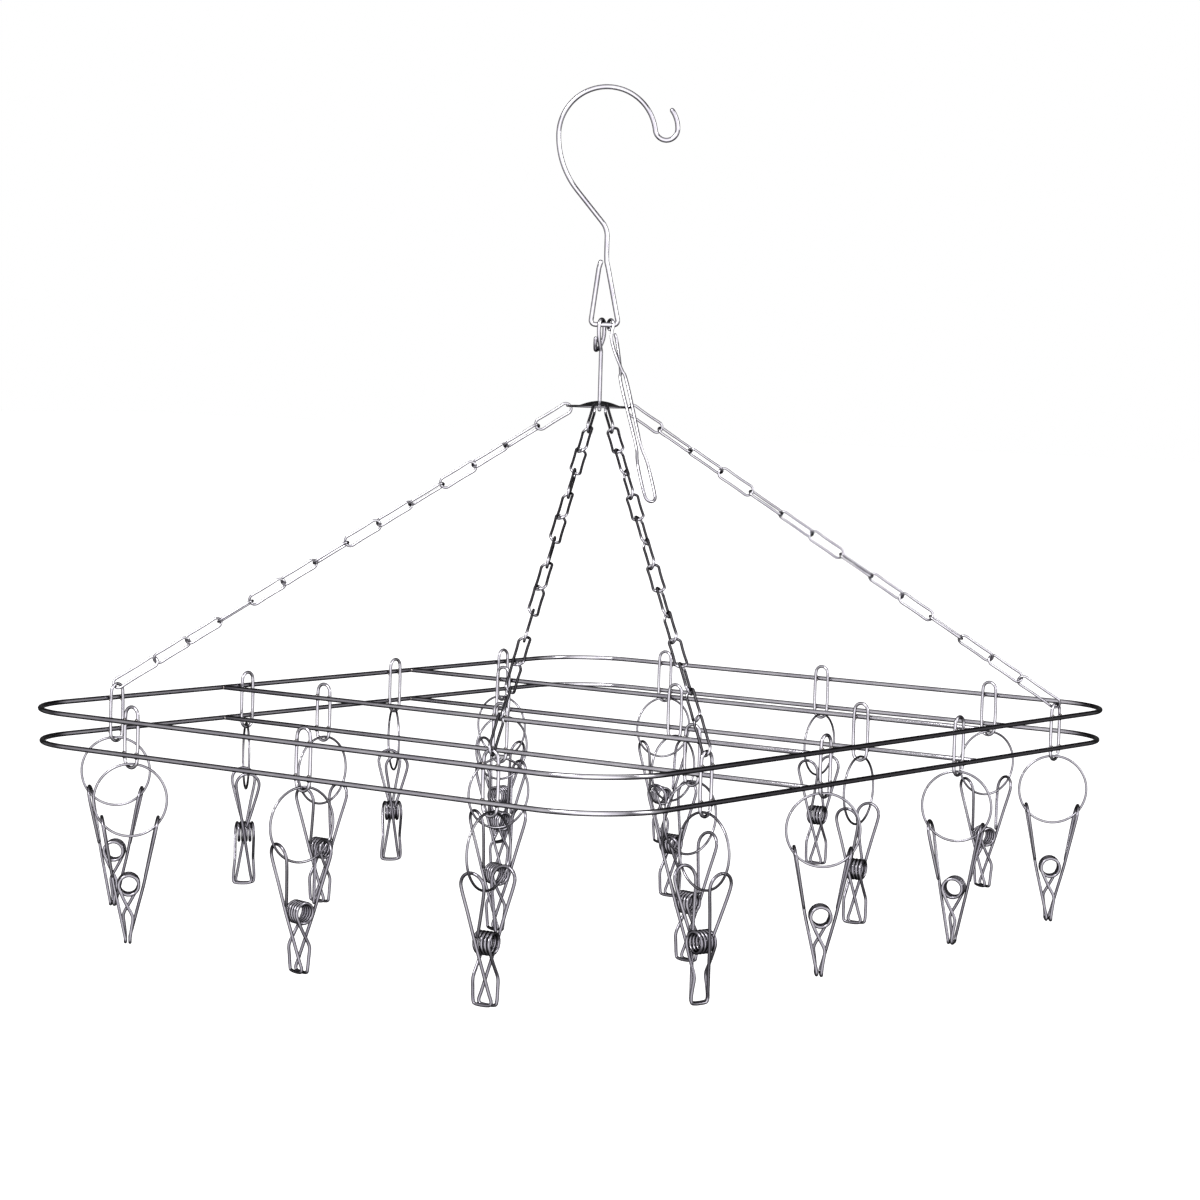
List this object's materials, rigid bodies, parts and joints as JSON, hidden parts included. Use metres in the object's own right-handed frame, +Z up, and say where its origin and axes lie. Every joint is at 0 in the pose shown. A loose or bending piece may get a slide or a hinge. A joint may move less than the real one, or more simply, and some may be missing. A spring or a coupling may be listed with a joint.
{
  "type": "clip drying hanger",
  "caption": "Two-tier rectangular wire hanger on four chains and a swivel hook, with sprung wire clips hung on rings.",
  "frame": {"origin": "the point under the top of the hook that rests on the clothes rail", "axes": "+Z up; X along the long sides of the frame; Y along its short sides"},
  "size_m": [0.4316, 0.3502, 0.3705],
  "materials": {
    "hook_steel": "bright drawn stainless steel wire",
    "frame_steel": "polished stainless steel wire with small welds",
    "chain_steel": "polished stainless steel",
    "ring_steel": "bright stainless steel wire",
    "clip_steel": "bright spring steel wire"
  },
  "bodies": {
    "hook": {"hook": "hook_steel"},
    "swivel_rod": {"swivel_eye_rod": "hook_steel"},
    "safety_clip": {"safety_clip": "hook_steel"},
    "hanger_frame": {"chain_plate": "chain_steel", "chain_left": "chain_steel", "chain_right": "chain_steel", "chain_front_right": "chain_steel", "chain_front_left": "chain_steel", "upper_frame_wire": "frame_steel", "lower_frame_wire": "frame_steel", "upper_crossbar_left": "frame_steel", "upper_crossbar_right": "frame_steel", "lower_crossbar_left": "frame_steel", "lower_crossbar_right": "frame_steel"},
    "ring_01": {"ring_01": "ring_steel"},
    "clip_01": {"clip_01": "clip_steel"},
    "ring_02": {"ring_02": "ring_steel"},
    "clip_02": {"clip_02": "clip_steel"},
    "ring_03": {"ring_03": "ring_steel"},
    "clip_03": {"clip_03": "clip_steel"},
    "ring_04": {"ring_04": "ring_steel"},
    "clip_04": {"clip_04": "clip_steel"},
    "ring_05": {"ring_05": "ring_steel"},
    "clip_05": {"clip_05": "clip_steel"},
    "ring_06": {"ring_06": "ring_steel"},
    "clip_06": {"clip_06": "clip_steel"},
    "ring_07": {"ring_07": "ring_steel"},
    "clip_07": {"clip_07": "clip_steel"},
    "ring_08": {"ring_08": "ring_steel"},
    "clip_08": {"clip_08": "clip_steel"},
    "ring_09": {"ring_09": "ring_steel"},
    "clip_09": {"clip_09": "clip_steel"},
    "ring_10": {"ring_10": "ring_steel"},
    "clip_10": {"clip_10": "clip_steel"},
    "ring_11": {"ring_11": "ring_steel"},
    "clip_11": {"clip_11": "clip_steel"},
    "ring_12": {"ring_12": "ring_steel"},
    "clip_12": {"clip_12": "clip_steel"},
    "ring_13": {"ring_13": "ring_steel"},
    "clip_13": {"clip_13": "clip_steel"},
    "ring_14": {"ring_14": "ring_steel"},
    "clip_14": {"clip_14": "clip_steel"},
    "ring_15": {"ring_15": "ring_steel"},
    "clip_15": {"clip_15": "clip_steel"},
    "ring_16": {"ring_16": "ring_steel"},
    "clip_16": {"clip_16": "clip_steel"},
    "ring_17": {"ring_17": "ring_steel"},
    "clip_17": {"clip_17": "clip_steel"},
    "ring_18": {"ring_18": "ring_steel"},
    "clip_18": {"clip_18": "clip_steel"},
    "ring_19": {"ring_19": "ring_steel"},
    "clip_19": {"clip_19": "clip_steel"},
    "ring_20": {"ring_20": "ring_steel"},
    "clip_20": {"clip_20": "clip_steel"}
  },
  "joints": [
    {"name": "rod_swing", "type": "hinge", "parent": "hook", "child": "swivel_rod", "pos_m": [0, 0, -0.104], "axis": [0.6088, -0.7934, 0], "range_deg": [-25, 25]},
    {"name": "frame_swivel", "type": "hinge", "parent": "swivel_rod", "child": "hanger_frame", "pos_m": [0, 0, -0.1405], "axis": [0, 0, 1], "range_deg": [-40, 10]},
    {"name": "safety_clip_swing", "type": "hinge", "parent": "swivel_rod", "child": "safety_clip", "pos_m": [0.00244, -0.00317, -0.104], "axis": [-0.9397, 0.342, 0], "range_deg": [0, 95]},
    {"name": "ring_01_swing", "type": "hinge", "parent": "hanger_frame", "child": "ring_01", "pos_m": [-0.138, 0.16, -0.29475], "axis": [1, 0, 0], "range_deg": [-20, 20]},
    {"name": "clip_01_slide", "type": "hinge", "parent": "ring_01", "child": "clip_01", "pos_m": [-0.138, 0.16, -0.30835], "axis": [0.7986, 0.6018, 0], "range_deg": [-30, 30]},
    {"name": "ring_02_swing", "type": "hinge", "parent": "hanger_frame", "child": "ring_02", "pos_m": [-0.053, 0.16, -0.29475], "axis": [1, 0, 0], "range_deg": [-20, 20]},
    {"name": "clip_02_slide", "type": "hinge", "parent": "ring_02", "child": "clip_02", "pos_m": [-0.053, 0.16, -0.30835], "axis": [0.7431, -0.6691, 0], "range_deg": [-30, 30]},
    {"name": "ring_03_swing", "type": "hinge", "parent": "hanger_frame", "child": "ring_03", "pos_m": [0.053, 0.16, -0.29475], "axis": [1, 0, 0], "range_deg": [-20, 20]},
    {"name": "clip_03_slide", "type": "hinge", "parent": "ring_03", "child": "clip_03", "pos_m": [0.053, 0.16, -0.30835], "axis": [0.766, -0.6428, 0], "range_deg": [-30, 30]},
    {"name": "ring_04_swing", "type": "hinge", "parent": "hanger_frame", "child": "ring_04", "pos_m": [0.138, 0.16, -0.29475], "axis": [1, 0, 0], "range_deg": [-20, 20]},
    {"name": "clip_04_slide", "type": "hinge", "parent": "ring_04", "child": "clip_04", "pos_m": [0.138, 0.16, -0.30835], "axis": [1, 0, 0], "range_deg": [-30, 30]},
    {"name": "ring_05_swing", "type": "hinge", "parent": "hanger_frame", "child": "ring_05", "pos_m": [-0.138, -0.16, -0.29475], "axis": [1, 0, 0], "range_deg": [-20, 20]},
    {"name": "clip_05_slide", "type": "hinge", "parent": "ring_05", "child": "clip_05", "pos_m": [-0.138, -0.16, -0.30835], "axis": [0.9659, -0.2588, 0], "range_deg": [-30, 30]},
    {"name": "ring_06_swing", "type": "hinge", "parent": "hanger_frame", "child": "ring_06", "pos_m": [-0.053, -0.16, -0.29475], "axis": [1, 0, 0], "range_deg": [-20, 20]},
    {"name": "clip_06_slide", "type": "hinge", "parent": "ring_06", "child": "clip_06", "pos_m": [-0.053, -0.16, -0.30835], "axis": [0.7986, 0.6018, 0], "range_deg": [-30, 30]},
    {"name": "ring_07_swing", "type": "hinge", "parent": "hanger_frame", "child": "ring_07", "pos_m": [0.053, -0.16, -0.29475], "axis": [1, 0, 0], "range_deg": [-20, 20]},
    {"name": "clip_07_slide", "type": "hinge", "parent": "ring_07", "child": "clip_07", "pos_m": [0.053, -0.16, -0.30835], "axis": [0.9397, 0.342, 0], "range_deg": [-30, 30]},
    {"name": "ring_08_swing", "type": "hinge", "parent": "hanger_frame", "child": "ring_08", "pos_m": [0.138, -0.16, -0.29475], "axis": [1, 0, 0], "range_deg": [-20, 20]},
    {"name": "clip_08_slide", "type": "hinge", "parent": "ring_08", "child": "clip_08", "pos_m": [0.138, -0.16, -0.30835], "axis": [0.8192, 0.5736, 0], "range_deg": [-30, 30]},
    {"name": "ring_09_swing", "type": "hinge", "parent": "hanger_frame", "child": "ring_09", "pos_m": [-0.2005, 0.089, -0.29475], "axis": [0, 1, 0], "range_deg": [-20, 20]},
    {"name": "clip_09_slide", "type": "hinge", "parent": "ring_09", "child": "clip_09", "pos_m": [-0.2005, 0.089, -0.30835], "axis": [0.7071, 0.7071, 0], "range_deg": [-30, 30]},
    {"name": "ring_10_swing", "type": "hinge", "parent": "hanger_frame", "child": "ring_10", "pos_m": [-0.2005, -0.007, -0.29475], "axis": [0, 1, 0], "range_deg": [-20, 20]},
    {"name": "clip_10_slide", "type": "hinge", "parent": "ring_10", "child": "clip_10", "pos_m": [-0.2005, -0.007, -0.30835], "axis": [0.2419, 0.9703, 0], "range_deg": [-30, 30]},
    {"name": "ring_11_swing", "type": "hinge", "parent": "hanger_frame", "child": "ring_11", "pos_m": [-0.2005, -0.103, -0.29475], "axis": [0, 1, 0], "range_deg": [-20, 20]},
    {"name": "clip_11_slide", "type": "hinge", "parent": "ring_11", "child": "clip_11", "pos_m": [-0.2005, -0.103, -0.30835], "axis": [-0.0872, 0.9962, 0], "range_deg": [-30, 30]},
    {"name": "ring_12_swing", "type": "hinge", "parent": "hanger_frame", "child": "ring_12", "pos_m": [0.2005, 0.103, -0.29475], "axis": [0, 1, 0], "range_deg": [-20, 20]},
    {"name": "clip_12_slide", "type": "hinge", "parent": "ring_12", "child": "clip_12", "pos_m": [0.2005, 0.103, -0.30835], "axis": [0.4384, 0.8988, 0], "range_deg": [-30, 30]},
    {"name": "ring_13_swing", "type": "hinge", "parent": "hanger_frame", "child": "ring_13", "pos_m": [0.2005, 0.007, -0.29475], "axis": [0, 1, 0], "range_deg": [-20, 20]},
    {"name": "clip_13_slide", "type": "hinge", "parent": "ring_13", "child": "clip_13", "pos_m": [0.2005, 0.007, -0.30835], "axis": [-0.0698, 0.9976, 0], "range_deg": [-30, 30]},
    {"name": "ring_14_swing", "type": "hinge", "parent": "hanger_frame", "child": "ring_14", "pos_m": [0.2005, -0.089, -0.29475], "axis": [0, 1, 0], "range_deg": [-20, 20]},
    {"name": "clip_14_slide", "type": "hinge", "parent": "ring_14", "child": "clip_14", "pos_m": [0.2005, -0.089, -0.30835], "axis": [0.4384, 0.8988, 0], "range_deg": [-30, 30]},
    {"name": "ring_15_swing", "type": "hinge", "parent": "hanger_frame", "child": "ring_15", "pos_m": [-0.0652, 0.102, -0.29475], "axis": [0, 1, 0], "range_deg": [-20, 20]},
    {"name": "clip_15_slide", "type": "hinge", "parent": "ring_15", "child": "clip_15", "pos_m": [-0.0652, 0.102, -0.30835], "axis": [0.0523, 0.9986, 0], "range_deg": [-30, 30]},
    {"name": "ring_16_swing", "type": "hinge", "parent": "hanger_frame", "child": "ring_16", "pos_m": [-0.0652, 0, -0.29475], "axis": [0, 1, 0], "range_deg": [-20, 20]},
    {"name": "clip_16_slide", "type": "hinge", "parent": "ring_16", "child": "clip_16", "pos_m": [-0.0652, 0, -0.30835], "axis": [0.342, 0.9397, 0], "range_deg": [-30, 30]},
    {"name": "ring_17_swing", "type": "hinge", "parent": "hanger_frame", "child": "ring_17", "pos_m": [-0.0652, -0.102, -0.29475], "axis": [0, 1, 0], "range_deg": [-20, 20]},
    {"name": "clip_17_slide", "type": "hinge", "parent": "ring_17", "child": "clip_17", "pos_m": [-0.0652, -0.102, -0.30835], "axis": [0.1736, 0.9848, 0], "range_deg": [-30, 30]},
    {"name": "ring_18_swing", "type": "hinge", "parent": "hanger_frame", "child": "ring_18", "pos_m": [0.0652, 0.102, -0.29475], "axis": [0, 1, 0], "range_deg": [-20, 20]},
    {"name": "clip_18_slide", "type": "hinge", "parent": "ring_18", "child": "clip_18", "pos_m": [0.0652, 0.102, -0.30835], "axis": [0.2588, 0.9659, 0], "range_deg": [-30, 30]},
    {"name": "ring_19_swing", "type": "hinge", "parent": "hanger_frame", "child": "ring_19", "pos_m": [0.0652, 0, -0.29475], "axis": [0, 1, 0], "range_deg": [-20, 20]},
    {"name": "clip_19_slide", "type": "hinge", "parent": "ring_19", "child": "clip_19", "pos_m": [0.0652, 0, -0.30835], "axis": [0.0872, 0.9962, 0], "range_deg": [-30, 30]},
    {"name": "ring_20_swing", "type": "hinge", "parent": "hanger_frame", "child": "ring_20", "pos_m": [0.0652, -0.102, -0.29475], "axis": [0, 1, 0], "range_deg": [-20, 20]},
    {"name": "clip_20_slide", "type": "hinge", "parent": "ring_20", "child": "clip_20", "pos_m": [0.0652, -0.102, -0.30835], "axis": [-0.1219, 0.9925, 0], "range_deg": [-30, 30]}
  ]
}
